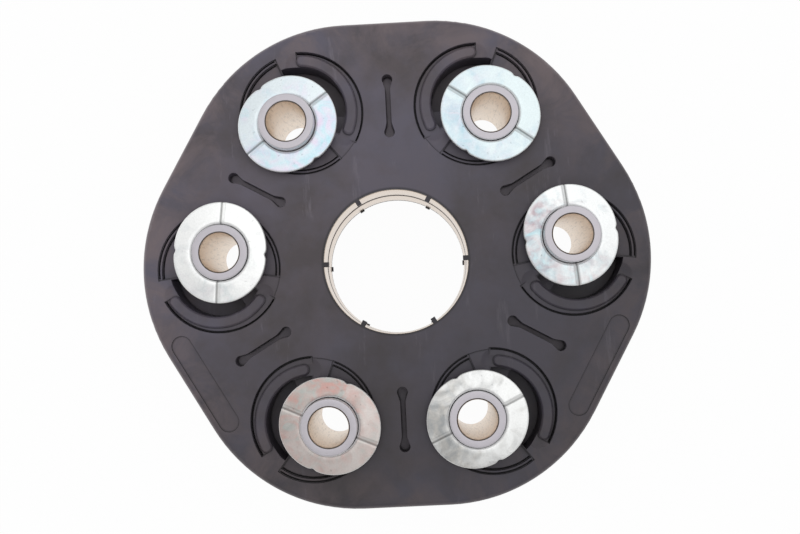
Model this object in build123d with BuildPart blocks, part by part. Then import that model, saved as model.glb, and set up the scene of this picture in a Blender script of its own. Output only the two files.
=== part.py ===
from build123d import *
import math
import os

# Flexible disc coupling of a propeller shaft: a rubber disc with six steel bushes.
# Sizes in millimetres, angles in degrees. Z is the shaft axis, the disc is centred on z = 0.

# Rubber disc
across_flats = 133.6
corner_radius = 46.5
disc_thickness = 25.4
rim_round = 1.4
parting_width = 1.0
parting_height = 0.35

# Bolts: six sleeves on one circle, in pairs that stand close and wide in turn. Every second
# sleeve stands further out of one side, where its flange seats on it.
bolt_circle_radius = 48.0
sleeve_shift = 5.5
sleeve_length = 34.8
sleeve_offset = 1.15
sleeve_outer_radius = 7.6
sleeve_bore_radius = 5.3
sleeve_bore_chamfer = 0.4
sleeve_rim_chamfer = 0.3

# Washers under the bolt heads and nuts, long the way of the cord, each on a rubber collar
washer_long_radius = 13.85
washer_short_radius = 12.6
washer_hub_thickness = 1.6
washer_rim_thickness = 1.2
washer_hub_radius = 9.0
washer_hole_clearance = 0.2
washer_sink_width = 0.5
washer_sink_depth = 0.4
washer_groove_width = 1.0
washer_groove_depth = 0.3
washer_nick_radius = 1.5
washer_nick_depth = 0.4
collar_height = 1.45

# Centring ring in the middle, two halves that meet on the mid plane
ring_bore_radius = 19.85
ring_wall = 1.5
ring_edge_chamfer = 0.35
lip_thickness = 1.4
lip_radius = 19.95
nub_tip_radius = 18.45
nub_width = 1.3

# Relief slots between the bushes, blind from both faces
slot_inner_radius = 35.8
slot_outer_radius = 50.5
slot_width = 1.4
slot_end_radius = 1.45
slot_flare = 2.6
slot_depth = 4.0

# Moulded relief round each bush, angles from the outward radius towards the lune
relief_circle_radius = 48.7
relief_radius = 17.4
relief_depth = 0.9
land_start = 8.0
land_end = 27.5
groove_radius = 17.3
groove_width = 0.5
groove_depth = 2.4
bead_shift = 0.7
bead_inner_radius = 12.85
bead_outer_radius = 15.95
bead_sink = 0.15
bead_chamfer = 0.45
bead_end_round = 1.4
bead_start = 29.0
bead_end = 148.0
lune_radius = 12.75
lune_depth = 8.0
lune_end = 151.0
lune_step_angle = 126.0
lune_step_depth = 3.6
hollow_radius = 6.0
hollow_depth = 1.1
hollow_reach = 13.8
low_land_radius = 16.9
low_land_depth = 0.3
shelf_start = 170.0
shelf_radius = 17.0
shelf_depth = 0.5
shelf_inner_radius = 15.95
shelf_inner_depth = 1.2
crease_width = 0.35
crease_depth = 0.9
boss_radius = 11.9
ledge = 0.2
ledge_angle = 1.0

# Shallow marking panels beside the two lower flats of the printed side
panel_radius = 62.0
panel_length = 30.0
panel_width = 5.6
panel_depth = 0.3

# Cord packs wound round neighbouring sleeves and moulded in
cord_wall = 4.2
wide_pack_height = 6.0
close_pack_height = 4.2
pack_gap = 0.6

# Values that follow from the sizes above
half_disc = disc_thickness / 2
seat_height = half_disc + collar_height
ring_outer_radius = ring_bore_radius + ring_wall
ring_half_length = half_disc - lip_thickness
full_turn = 360.0
sides = (1, -1)
bush_angles = [0.0, 60.0, 120.0, 180.0, 240.0, 300.0]
relief_hands = [-1, 1, -1, 1, -1, 1]
sleeve_angles = [angle - hand * sleeve_shift for angle, hand in zip(bush_angles, relief_hands)]
boss_x = bolt_circle_radius * math.cos(math.radians(sleeve_shift)) - relief_circle_radius
boss_y = -bolt_circle_radius * math.sin(math.radians(sleeve_shift))
core_radius = boss_radius - math.hypot(boss_x - bead_shift, boss_y) - ledge
shelf_end = full_turn + land_start


def side_plane(side, height, radius=0.0, angle=0.0):
    """Plane on one side of the disc, looking outward, its x axis away from the disc axis."""
    x_dir = (math.cos(math.radians(angle)), math.sin(math.radians(angle)), 0)
    origin = (radius * x_dir[0], radius * x_dir[1], side * height)
    return Plane(origin=origin, x_dir=x_dir, z_dir=(0, 0, side))


def ring_sector(inner, outer, start, end, hand, corner=0.0):
    """Face of a ring sector between two angles, mirrored over x where hand is -1."""
    with BuildSketch() as region:
        with BuildLine():
            inner_arc = CenterArc((0, 0), inner, hand * start, hand * (end - start))
            outer_arc = CenterArc((0, 0), outer, hand * start, hand * (end - start))
            Line(inner_arc @ 0, outer_arc @ 0)
            Line(inner_arc @ 1, outer_arc @ 1)
        make_face()
        if corner > 0:
            fillet(region.vertices(), radius=corner)
    return region.sketch


def bush_sectors(side, inner, outer, start, end, clear=0.0, shift=0.0, corner=0.0):
    """One sector at each of the six bushes, as seen on one side, cut clear of the sleeves."""
    with BuildSketch() as regions:
        for angle, hand in zip(bush_angles, relief_hands):
            with PolarLocations(relief_circle_radius + shift, 1, start_angle=side * angle):
                add(ring_sector(inner, outer, start, end, side * hand, corner))
                if clear > 0:
                    with Locations((boss_x - shift, side * hand * boss_y)):
                        Circle(clear, mode=Mode.SUBTRACT)
    return regions.sketch


def hollow_centres():
    """Centres of the balls that press a hollow at each end of each bead, on both sides."""
    centres = []
    for angle, hand in zip(bush_angles, relief_hands):
        for place in (bead_start, bead_end):
            spot = Vector(relief_circle_radius, 0).rotate(Axis.Z, angle)
            spot += Vector(hollow_reach, 0).rotate(Axis.Z, angle + hand * place)
            for side in sides:
                centres.append(spot + Vector(0, 0, side * (half_disc + hollow_radius - hollow_depth)))
    return centres


def rounded_hexagon(apothem, radius):
    """Outline of the disc with its corners rounded, the corners on the bushes."""
    with BuildSketch() as outline:
        RegularPolygon(apothem, 6, major_radius=False)
        fillet(outline.vertices(), radius=radius)
    return outline.sketch


def slot_shapes():
    """Six relief slots, narrow in the middle and flared into a round end at both ends."""
    slot_middle = (slot_inner_radius + slot_outer_radius) / 2
    slot_span = slot_outer_radius - slot_inner_radius
    with BuildSketch() as slots:
        with PolarLocations(slot_middle, 6, start_angle=30):
            Rectangle(slot_span, slot_width)
            with Locations((-slot_span / 2, 0), (slot_span / 2, 0)):
                Circle(slot_end_radius)
            for end in (1, -1):
                Polygon(
                    (end * slot_span / 2, -slot_end_radius),
                    (end * slot_span / 2, slot_end_radius),
                    (end * (slot_span / 2 - slot_flare), slot_width / 2),
                    (end * (slot_span / 2 - slot_flare), -slot_width / 2),
                    align=None,
                )
    return slots.sketch


def cord_pack(first, second, low, high):
    """Closed loop of cord round the sleeves at two angles, between two heights."""
    half_gap = math.radians((second - first) / 2)
    span = 2 * bolt_circle_radius * math.sin(half_gap)
    reach = bolt_circle_radius * math.cos(half_gap)
    with BuildPart() as pack:
        with BuildSketch(side_plane(1, low, reach, (first + second) / 2)):
            SlotCenterToCenter(span, 2 * (sleeve_outer_radius + cord_wall), rotation=90)
            SlotCenterToCenter(span, 2 * sleeve_outer_radius, rotation=90, mode=Mode.SUBTRACT)
        extrude(amount=high - low)
    return pack


def ring_half(side):
    """One half of the centring ring, from the mid plane to the lip on its side."""
    with BuildPart() as half:
        with BuildSketch(side_plane(side, 0)):
            Circle(ring_outer_radius)
            Circle(ring_bore_radius, mode=Mode.SUBTRACT)
        extrude(amount=ring_half_length)
        rims = half.edges().filter_by(GeomType.CIRCLE)
        chamfer(rims.group_by(SortBy.RADIUS)[0], length=ring_edge_chamfer)
    return half


def sleeve_at(angle, offset):
    """Steel sleeve through the disc at an angle, moved along its axis, its edges broken."""
    with BuildPart() as sleeve:
        with BuildSketch(side_plane(1, offset - sleeve_length / 2, bolt_circle_radius, angle)):
            Circle(sleeve_outer_radius)
            Circle(sleeve_bore_radius, mode=Mode.SUBTRACT)
        extrude(amount=sleeve_length)
        rims = sleeve.edges().filter_by(GeomType.CIRCLE)
        chamfer(rims.group_by(SortBy.RADIUS)[0], length=sleeve_bore_chamfer)
        rims = sleeve.edges().filter_by(GeomType.CIRCLE)
        chamfer(rims.group_by(SortBy.RADIUS)[-1], length=sleeve_rim_chamfer)
    return sleeve


def washer_at(side, angle):
    """Long washer round a sleeve, seated flat on its collar on one side, its top dished."""
    seat = side_plane(side, seat_height, bolt_circle_radius, angle)
    axis = Axis(seat.origin, seat.z_dir)
    slope = math.atan2(washer_hub_thickness - washer_rim_thickness, washer_long_radius - washer_hub_radius)
    hole_radius = sleeve_outer_radius + washer_hole_clearance
    nick_place = washer_short_radius + washer_nick_radius - washer_nick_depth
    past_rim = washer_long_radius + washer_nick_radius
    with BuildPart() as washer:
        with BuildSketch(seat):
            span = 2 * (washer_long_radius - washer_short_radius)
            SlotCenterToCenter(span, 2 * washer_short_radius, rotation=90)
            Circle(hole_radius, mode=Mode.SUBTRACT)
            with Locations((nick_place, 0), (-nick_place, 0)):
                Circle(washer_nick_radius, mode=Mode.SUBTRACT)
        extrude(amount=washer_hub_thickness)
        with BuildSketch(Plane(seat.origin, x_dir=seat.x_dir, z_dir=-seat.y_dir)):
            with BuildLine():
                Polyline(
                    (washer_hub_radius, washer_hub_thickness),
                    (washer_long_radius, washer_rim_thickness),
                    (past_rim, washer_rim_thickness),
                    (past_rim, washer_hub_thickness),
                    close=True,
                )
            make_face()
            with BuildLine():
                Polyline(
                    (sleeve_outer_radius, washer_hub_thickness),
                    (hole_radius + washer_sink_width, washer_hub_thickness),
                    (hole_radius, washer_hub_thickness - washer_sink_depth),
                    (sleeve_outer_radius, washer_hub_thickness - washer_sink_depth),
                    close=True,
                )
            make_face()
        revolve(axis=axis, mode=Mode.SUBTRACT)
        for along in (seat.y_dir, -seat.y_dir):
            start = seat.origin + along * washer_hub_radius
            start += seat.z_dir * (washer_hub_thickness - washer_groove_depth)
            floor_x = along * math.cos(slope) - seat.z_dir * math.sin(slope)
            floor_z = along * math.sin(slope) + seat.z_dir * math.cos(slope)
            with BuildSketch(Plane(start, x_dir=floor_x, z_dir=floor_z)):
                Rectangle(washer_hub_radius + past_rim, washer_groove_width)
            extrude(amount=washer_hub_thickness, mode=Mode.SUBTRACT)
    return washer


# Cord packs: one wide pack on the mid plane for each wide pair, two packs for each close pair
packs = []
for number, first in enumerate((1, 3, 5)):
    start = sleeve_angles[first]
    end = sleeve_angles[(first + 1) % 6] + (full_turn if first == 5 else 0.0)
    wide = cord_pack(start, end, -wide_pack_height / 2, wide_pack_height / 2)
    wide.part.label = f"cord_wide_{number + 1}"
    packs.append(wide)
close_low = wide_pack_height / 2 + pack_gap
close_high = close_low + close_pack_height
for number, first in enumerate((0, 2, 4)):
    for name, low, high in (("upper", close_low, close_high), ("lower", -close_high, -close_low)):
        close = cord_pack(sleeve_angles[first], sleeve_angles[first + 1], low, high)
        close.part.label = f"cord_{name}_{number + 1}"
        packs.append(close)

# Rubber disc, the same relief on both sides
with BuildPart() as rubber_body:
    with BuildSketch(Plane.XY.offset(-half_disc)):
        add(rounded_hexagon(across_flats / 2, corner_radius))
    extrude(amount=disc_thickness)
    rims = rubber_body.edges().group_by(Axis.Z)
    fillet(rims[0] + rims[-1], radius=rim_round)

    # Parting line of the mould, a low bead round the rim
    with BuildSketch(Plane.XY.offset(-parting_width / 2)):
        add(rounded_hexagon(across_flats / 2 + parting_height, corner_radius + parting_height))
    extrude(amount=parting_width)

    # Middle opening for the ring
    with BuildSketch(Plane.XY.offset(-ring_half_length)):
        Circle(ring_outer_radius)
    extrude(amount=2 * ring_half_length, mode=Mode.SUBTRACT)

    # Round hollows where each bead starts and ends
    with Locations(*hollow_centres()):
        Sphere(hollow_radius, rotation=(90, 0, 0), mode=Mode.SUBTRACT)

    for side in sides:
        face = side_plane(side, half_disc)

        # Lip over the ring, with six nubs
        with BuildSketch(face):
            Circle(lip_radius)
            with PolarLocations((nub_tip_radius + ring_outer_radius) / 2, 6):
                Rectangle(ring_outer_radius - nub_tip_radius, nub_width, mode=Mode.SUBTRACT)
        extrude(amount=-lip_thickness, mode=Mode.SUBTRACT)

        with BuildSketch(face):
            add(slot_shapes())
        extrude(amount=-slot_depth, mode=Mode.SUBTRACT)

        # Sunk floor under the bead, the low land past its end, and the shelf in two levels
        with BuildSketch(face):
            add(bush_sectors(side, core_radius, relief_radius, land_end, lune_end, boss_radius))
        extrude(amount=-relief_depth, mode=Mode.SUBTRACT)
        with BuildSketch(face):
            low_land_ends = (lune_end - ledge_angle, shelf_start + ledge_angle)
            add(bush_sectors(side, core_radius, low_land_radius, *low_land_ends, boss_radius + ledge))
        extrude(amount=-low_land_depth, mode=Mode.SUBTRACT)
        with BuildSketch(face):
            add(bush_sectors(side, core_radius, shelf_radius, shelf_start, shelf_end, boss_radius))
        extrude(amount=-shelf_depth, mode=Mode.SUBTRACT)
        with BuildSketch(face):
            shelf_ends = (shelf_start + ledge_angle, shelf_end - ledge_angle)
            add(bush_sectors(side, core_radius, shelf_inner_radius, *shelf_ends, boss_radius + ledge))
        extrude(amount=-shelf_inner_depth, mode=Mode.SUBTRACT)

        # Narrow creases along both steps of the shelf, and the sharp groove outside the bead
        crease_ends = (shelf_start + 2 * ledge_angle, shelf_end - 2 * ledge_angle)
        for edge, level in ((shelf_radius, shelf_depth), (shelf_inner_radius, shelf_inner_depth)):
            with BuildSketch(face):
                crease = (edge - ledge - crease_width, edge - ledge)
                add(bush_sectors(side, *crease, *crease_ends, boss_radius + 2 * ledge))
            extrude(amount=-level - crease_depth, mode=Mode.SUBTRACT)
        with BuildSketch(face):
            groove_ends = (land_end + ledge_angle, lune_end - 2 * ledge_angle)
            add(bush_sectors(side, groove_radius - groove_width, groove_radius, *groove_ends))
        extrude(amount=-groove_depth, mode=Mode.SUBTRACT)

        # Deep lune between washer and bead, with a step near its low end
        with BuildSketch(face):
            lune_ends = (land_start + ledge_angle, lune_step_angle)
            foot = boss_radius + 2 * ledge
            add(bush_sectors(side, core_radius, lune_radius, *lune_ends, foot, bead_shift))
        extrude(amount=-lune_depth, mode=Mode.SUBTRACT)
        with BuildSketch(face):
            step_ends = (lune_step_angle - ledge_angle, lune_end)
            foot = boss_radius + 3 * ledge
            add(bush_sectors(side, core_radius, lune_radius - ledge, *step_ends, foot, bead_shift))
        extrude(amount=-lune_step_depth, mode=Mode.SUBTRACT)

        # Bead along the lune, from the bottom of the hollows up
        with BuildSketch(side_plane(side, half_disc - hollow_depth - ledge)):
            bead = (bead_inner_radius, bead_outer_radius, bead_start, bead_end)
            add(bush_sectors(side, *bead, shift=bead_shift, corner=bead_end_round))
        extrude(amount=hollow_depth + ledge - bead_sink)
        bead_levels = rubber_body.edges(Select.LAST).group_by(Axis.Z)
        chamfer(bead_levels[-1] if side > 0 else bead_levels[0], length=bead_chamfer)

        # Collars that carry the washers
        with BuildSketch(side_plane(side, half_disc - ledge)):
            for angle in sleeve_angles:
                with PolarLocations(bolt_circle_radius, 1, start_angle=side * angle):
                    Circle(boss_radius - ledge)
        extrude(amount=ledge + collar_height)

    # Marking panels on the printed side
    with BuildSketch(side_plane(1, half_disc)):
        with PolarLocations(panel_radius, 2, start_angle=210, angular_range=120, endpoint=True):
            SlotOverall(panel_length, panel_width, rotation=90)
    extrude(amount=-panel_depth, mode=Mode.SUBTRACT)

    # Room for the sleeves and the cord
    with BuildSketch(Plane.XY.offset(-seat_height)):
        for angle in sleeve_angles:
            with PolarLocations(bolt_circle_radius, 1, start_angle=angle):
                Circle(sleeve_outer_radius)
    extrude(amount=2 * seat_height, mode=Mode.SUBTRACT)
    for pack in packs:
        add(pack.part, mode=Mode.SUBTRACT)
rubber_body.part.label = "rubber_body"

ring_upper = ring_half(1)
ring_upper.part.label = "ring_upper"
ring_lower = ring_half(-1)
ring_lower.part.label = "ring_lower"

sleeves = []
washers = []
for number, angle in enumerate(sleeve_angles):
    sleeve = sleeve_at(angle, -relief_hands[number] * sleeve_offset)
    sleeve.part.label = f"sleeve_{number + 1}"
    sleeves.append(sleeve)
    for name, side in (("upper", 1), ("lower", -1)):
        washer = washer_at(side, angle)
        washer.part.label = f"washer_{name}_{number + 1}"
        washers.append(washer)

os.makedirs("parts", exist_ok=True)
for piece in [rubber_body, ring_upper, ring_lower] + sleeves + washers + packs:
    export_step(piece.part, f"parts/{piece.part.label}.step")
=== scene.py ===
"""Looks of a flexible disc coupling: moulded rubber, plated washers, turned sleeves, rolled ring.

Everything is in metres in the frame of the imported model. The shaft axis is Z and the printed side
of the rubber looks up. The part lies on the lower ends of three of its sleeves.
"""
import logging
import math
from dataclasses import dataclass
from enum import Enum

import bpy
import numpy as np
from mathutils import Matrix, Vector


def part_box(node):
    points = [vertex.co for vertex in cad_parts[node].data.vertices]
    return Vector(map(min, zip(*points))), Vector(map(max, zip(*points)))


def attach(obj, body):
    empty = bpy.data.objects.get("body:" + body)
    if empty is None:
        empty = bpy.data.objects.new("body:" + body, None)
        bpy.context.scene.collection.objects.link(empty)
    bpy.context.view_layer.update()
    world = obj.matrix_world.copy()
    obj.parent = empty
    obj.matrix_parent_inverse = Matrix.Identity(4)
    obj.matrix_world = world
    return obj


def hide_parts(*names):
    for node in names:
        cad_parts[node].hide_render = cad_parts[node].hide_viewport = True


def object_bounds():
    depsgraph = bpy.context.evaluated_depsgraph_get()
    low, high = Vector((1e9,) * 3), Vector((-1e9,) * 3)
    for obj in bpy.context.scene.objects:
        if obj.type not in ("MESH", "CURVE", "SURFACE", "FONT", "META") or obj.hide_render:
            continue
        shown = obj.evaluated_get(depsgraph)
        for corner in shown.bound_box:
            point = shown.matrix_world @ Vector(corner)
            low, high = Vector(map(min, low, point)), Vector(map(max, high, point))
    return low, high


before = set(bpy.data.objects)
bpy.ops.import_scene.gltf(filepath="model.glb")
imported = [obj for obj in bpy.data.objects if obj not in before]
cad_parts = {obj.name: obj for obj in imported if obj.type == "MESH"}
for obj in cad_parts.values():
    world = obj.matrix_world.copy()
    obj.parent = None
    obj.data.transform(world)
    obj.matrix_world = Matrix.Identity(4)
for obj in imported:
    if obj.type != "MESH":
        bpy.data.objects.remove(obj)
CAD_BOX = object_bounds()

MM = 0.001
BODY = "root"
LEVEL = (1.0, 1.0, 0.0)  # taken times a place, it leaves out the height

Colour = tuple[float, float, float, float]
Span = tuple[float, float]
Tree = bpy.types.NodeTree
Node = bpy.types.Node
Socket = bpy.types.NodeSocket
log = logging.getLogger("coupling")


class Side(Enum):
    """Side of the disc, as the sign of its outward direction along Z."""

    UPPER = 1
    LOWER = -1


class PlateTone(Enum):
    """Tint of the plating on one bush.

    Each holds the bright colour, two cloud colours, how far the clouds reach (0 to 1) and the
    direction in which they thicken, in degrees from X.
    """

    CLEAR = ("E4EDF1", "C6E8F2", "E8DDF0", 0.65, 300.0)
    SKY = ("E4F0F2", "C3DDE8", "DEE2EC", 0.55, 200.0)
    WHITE = ("FCFDFC", "DAE2E3", "ECEAEC", 0.2, 250.0)
    FROST = ("F3F4F3", "A8AAAB", "C4C1BC", 0.7, 205.0)
    DUSK = ("F4F6F6", "BFDDE4", "B8A5AC", 0.6, 215.0)
    ROSE = ("D4CCC8", "C9A39C", "B6B8B4", 0.95, 110.0)


BUSH_TONES = (
    PlateTone.DUSK,
    PlateTone.SKY,
    PlateTone.CLEAR,
    PlateTone.WHITE,
    PlateTone.ROSE,
    PlateTone.FROST,
)


def linear(hex_code: str) -> Colour:
    """Turns an sRGB hex colour into the linear colour that the nodes take.

    A dark channel is divided by 12.92. A lighter one has 0.055 added, is divided by 1.055 and
    raised to the power 2.4.

    Args:
        hex_code: six hex digits.

    Returns:
        Red, green, blue and alpha, linear.
    """
    channels = np.array([int(hex_code[i : i + 2], 16) / 255 for i in (0, 2, 4)])
    low = channels / 12.92
    high = ((channels + 0.055) / 1.055) ** 2.4
    return (*np.where(channels <= 0.04045, low, high).tolist(), 1.0)


def feed(node: Node, inputs: dict) -> None:
    """Sets or links a node's inputs.

    Args:
        node: the node.
        inputs: by the input's name or number, a value, an output socket, or a node, which stands
            for its first output in use.
    """
    for key, value in inputs.items():
        if isinstance(value, Node):
            value = next(socket for socket in value.outputs if socket.enabled)
        if isinstance(value, Socket):
            node.id_data.links.new(value, node.inputs[key])
        else:
            node.inputs[key].default_value = value


def add_node(
    tree: Tree, kind: str, inputs: dict | None = None, stops: list | None = None, **settings: object
) -> Node:
    """Adds a node to a tree with its settings and links.

    Args:
        tree: the node tree.
        kind: the node's type name.
        inputs: what feeds its inputs, as `feed` takes it.
        stops: positions and colours of a colour ramp, two of them.
        settings: other properties of the node.

    Returns:
        The new node.
    """
    node = tree.nodes.new(kind)
    for key, value in settings.items():
        setattr(node, key, value)
    feed(node, inputs or {})
    if stops:
        for element, (position, colour) in zip(node.color_ramp.elements, stops):
            element.position, element.color = position, colour
    return node


def new_material(name: str) -> tuple[bpy.types.Material, Tree, Node]:
    """Makes a material with a bare Principled shader.

    Args:
        name: the material's name.

    Returns:
        The material, its node tree and its Principled node.
    """
    material = bpy.data.materials.new(name)
    material.use_nodes = True
    tree = material.node_tree
    tree.nodes.clear()
    shader = add_node(tree, "ShaderNodeBsdfPrincipled")
    add_node(tree, "ShaderNodeOutputMaterial", {"Surface": shader})
    return material, tree, shader


def grey(value: float) -> Colour:
    """Returns a grey of a linear value, for masks."""
    return (value, value, value, 1.0)


def fade_in(span: Span, top: float = 1.0) -> list[tuple[float, Colour]]:
    """Returns the stops of a ramp that is black up to a span and rises to a grey across it."""
    return [(span[0], grey(0)), (span[1], grey(top))]


def per_metre(size_mm: float) -> float:
    """Returns how many times a size in millimetres fits in a metre, for the scale of a pattern."""
    return 1 / (size_mm * MM)


def heading(degrees: float) -> tuple[float, float, float]:
    """Returns the level direction at an angle from X."""
    return (math.cos(math.radians(degrees)), math.sin(math.radians(degrees)), 0.0)


def axis_reach(tree: Tree, place: Socket | Node) -> Node:
    """Measures how far a place lies from the upright axis through the origin.

    It is the length of the place with its height left out.

    Args:
        tree: the node tree.
        place: the place.

    Returns:
        The node that gives the distance.
    """
    flat = add_node(tree, "ShaderNodeVectorMath", {0: place, 1: LEVEL}, operation="MULTIPLY")
    return add_node(tree, "ShaderNodeVectorMath", {0: flat}, operation="LENGTH")


def slant_mask(tree: Tree, slants: Span) -> Node:
    """Masks a surface by its slant: 0 where it lies level, 1 where it is steep.

    Args:
        tree: the node tree.
        slants: upright part of the normal down to which the surface counts as level, and the one
            from which it counts as steep.

    Returns:
        The node that gives the mask.
    """
    normal = add_node(tree, "ShaderNodeNewGeometry").outputs["Normal"]
    upright = add_node(tree, "ShaderNodeSeparateXYZ", {"Vector": normal}).outputs["Z"]
    size = add_node(tree, "ShaderNodeMath", {0: upright}, operation="ABSOLUTE")
    ends = {"From Min": slants[0], "From Max": slants[1]}
    return add_node(tree, "ShaderNodeMapRange", {"Value": size, **ends})


@dataclass(frozen=True)
class MouldedRubber:
    """Carbon-black natural rubber from a steel mould: matt, with bloom, rub marks and fine grain.

    The colour is a warm dark grey. Wax bloom clouds it bluish in patches about the size of a
    bush, handling has rubbed it brownish near the rim, and light scuffs run across it. Painted
    shade darkens it towards one side of the disc, in every inner corner and at the lip of the
    hole. Painted light lifts the floors of the slots, and a painted highlight lightens the
    mould's edges near the rim.
    """

    body: str = "484145"
    bloom: str = "56525F"
    rubbed: str = "6C6063"
    scuffed: str = "807A84"
    # painted highlight: colour of the mould's rounded edges near the rim
    edge: str = "8F878A"
    # painted light: lighter colour on the floors of the deep slots, lifting their shade
    slot_floor_light: str = "867E87"
    cloud_mm: float = 26.0
    cloud_span: Span = (0.38, 0.62)
    rub_mm: float = 14.0
    rub_span: Span = (0.42, 0.64)
    rim_start_mm: float = 52.0
    rim_end_mm: float = 68.0
    rim_share: Span = (0.18, 0.95)
    wall_slants: Span = (0.3, 0.1)
    wall_rub: float = 0.3
    scuff_mm: float = 5.0
    scuff_span: Span = (0.6, 0.78)
    scuff_share: float = 0.7
    scuff_turn: float = 0.6
    scuff_stretch: float = 0.16
    edge_mm: float = 0.3
    # painted highlight on the rounded edges near the rim: slants, reach and share
    highlight_slants: Span = (0.98, 0.6)
    highlight_start_mm: float = 63.0
    highlight_end_mm: float = 66.5
    highlight_share: float = 0.8
    # painted light on the slot floors: their height and the band round it
    slot_floor_height_mm: float = 8.7
    slot_floor_band_mm: float = 0.3
    # painted shade: the rubber darkens across the disc towards this heading
    shade_heading: float = 303.0
    shade_reach_mm: float = 46.0
    lit_side_shade: float = 1.14
    dark_side_shade: float = 0.55
    # painted shade: darker within this distance of any inner corner
    corner_mm: float = 0.6
    corner_span: Span = (0.5, 0.92)
    corner_shade: float = 0.2
    # painted shadow: darker at the lip of the hole, next to the ring
    lip_start_mm: float = 20.15
    lip_end_mm: float = 20.65
    lip_shade: float = 0.4
    roughness: float = 0.5
    roughness_swing: float = 0.12
    grain_mm: float = 0.5
    grain_depth_mm: float = 0.03
    wave_mm: float = 9.0
    wave_depth_mm: float = 0.12

    def rubbing(self, tree: Tree, rubs: Node, reach: Node, top: Node) -> Node:
        """Masks where handling has rubbed the rubber: in patches, most near the rim.

        Args:
            tree: the node tree.
            rubs: noise of the rub marks.
            reach: distance from the shaft axis.
            top: mask of all but the side walls.

        Returns:
            The node that gives the mask.
        """
        stops = fade_in(self.rub_span)
        patches = add_node(tree, "ShaderNodeValToRGB", {"Fac": rubs}, stops=stops)
        rim = add_node(
            tree,
            "ShaderNodeMapRange",
            {
                "Value": reach,
                "From Min": self.rim_start_mm * MM,
                "From Max": self.rim_end_mm * MM,
                "To Min": self.rim_share[0],
                "To Max": self.rim_share[1],
            },
        )
        handled = add_node(
            tree, "ShaderNodeMapRange", {"Value": top, "To Min": self.wall_rub, "To Max": 1.0}
        )
        near_rim = add_node(tree, "ShaderNodeMath", {0: rim, 1: handled}, operation="MULTIPLY")
        return add_node(tree, "ShaderNodeMath", {0: patches, 1: near_rim}, operation="MULTIPLY")

    def worn_colour(self, tree: Tree, place: Socket, rubbing: Node) -> Node:
        """Clouds the body colour with bloom, rubs it brownish and scuffs it.

        Args:
            tree: the node tree.
            place: Object coordinates.
            rubbing: mask of the rubbed rubber.

        Returns:
            The node that gives the colour.
        """
        clouds = add_node(
            tree,
            "ShaderNodeTexNoise",
            {"Vector": place, "Scale": per_metre(self.cloud_mm), "Detail": 5.0, "Roughness": 0.6},
        )
        blooming = add_node(
            tree, "ShaderNodeValToRGB", {"Fac": clouds}, stops=fade_in(self.cloud_span)
        )
        turn = {"Rotation": (0.0, 0.0, self.scuff_turn), "Scale": (1.0, self.scuff_stretch, 1.0)}
        turned = add_node(tree, "ShaderNodeMapping", {"Vector": place, **turn})
        scuffs = add_node(
            tree,
            "ShaderNodeTexNoise",
            {"Vector": turned, "Scale": per_metre(self.scuff_mm), "Detail": 8.0, "Roughness": 0.7},
        )
        scuffing = add_node(
            tree,
            "ShaderNodeValToRGB",
            {"Fac": scuffs},
            stops=fade_in(self.scuff_span, self.scuff_share),
        )
        colour = linear(self.body)
        for mask, over in (
            (blooming, self.bloom),
            (rubbing, self.rubbed),
            (scuffing, self.scuffed),
        ):
            layers = {"Factor": mask, "A": colour, "B": linear(over)}
            colour = add_node(tree, "ShaderNodeMix", layers, data_type="RGBA")
        return colour

    def highlight_and_floor_light(
        self, tree: Tree, place: Socket, reach: Node, top: Node
    ) -> list[tuple[Node, str]]:
        """Masks the painted highlight on the edges near the rim and the painted light on the floors
        of the slots.

        Args:
            tree: the node tree.
            place: Object coordinates.
            reach: distance from the shaft axis.
            top: mask of all but the side walls.

        Returns:
            Each mask with its colour.
        """
        # painted highlight on the slanted edges near the rim
        slant = slant_mask(tree, self.highlight_slants)
        outer = add_node(
            tree,
            "ShaderNodeMapRange",
            {
                "Value": reach,
                "From Min": self.highlight_start_mm * MM,
                "From Max": self.highlight_end_mm * MM,
                "To Max": self.highlight_share,
            },
        )
        rounding = add_node(tree, "ShaderNodeMath", {0: slant, 1: top}, operation="MULTIPLY")
        rim_highlight = add_node(tree, "ShaderNodeMath", {0: rounding, 1: outer}, operation="MULTIPLY")
        # painted light on the level floors of the slots
        height = add_node(tree, "ShaderNodeSeparateXYZ", {"Vector": place}).outputs["Z"]
        depth = add_node(tree, "ShaderNodeMath", {0: height}, operation="ABSOLUTE")
        band = {1: self.slot_floor_height_mm * MM, 2: self.slot_floor_band_mm * MM}
        floors = add_node(tree, "ShaderNodeMath", {0: depth, **band}, operation="COMPARE")
        level = add_node(tree, "ShaderNodeMath", {0: 1.0, 1: slant}, operation="SUBTRACT")
        lit_floors = add_node(tree, "ShaderNodeMath", {0: floors, 1: level}, operation="MULTIPLY")
        return [(rim_highlight, self.edge), (lit_floors, self.slot_floor_light)]

    def shade(self, tree: Tree, place: Socket, reach: Node) -> Node:
        """Paints shade: darker towards one side of the disc, in inner corners and under the lip.

        Args:
            tree: the node tree.
            place: Object coordinates.
            reach: distance from the shaft axis.

        Returns:
            The node that gives the factor on the colour.
        """
        aim = heading(self.shade_heading)
        along = add_node(tree, "ShaderNodeVectorMath", {0: place, 1: aim}, operation="DOT_PRODUCT")
        # painted shade, darker towards one side of the disc
        side_shade = add_node(
            tree,
            "ShaderNodeMapRange",
            {
                "Value": along,
                "From Min": -self.shade_reach_mm * MM,
                "From Max": self.shade_reach_mm * MM,
                "To Min": self.lit_side_shade,
                "To Max": self.dark_side_shade,
            },
            interpolation_type="SMOOTHSTEP",
        )
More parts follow.
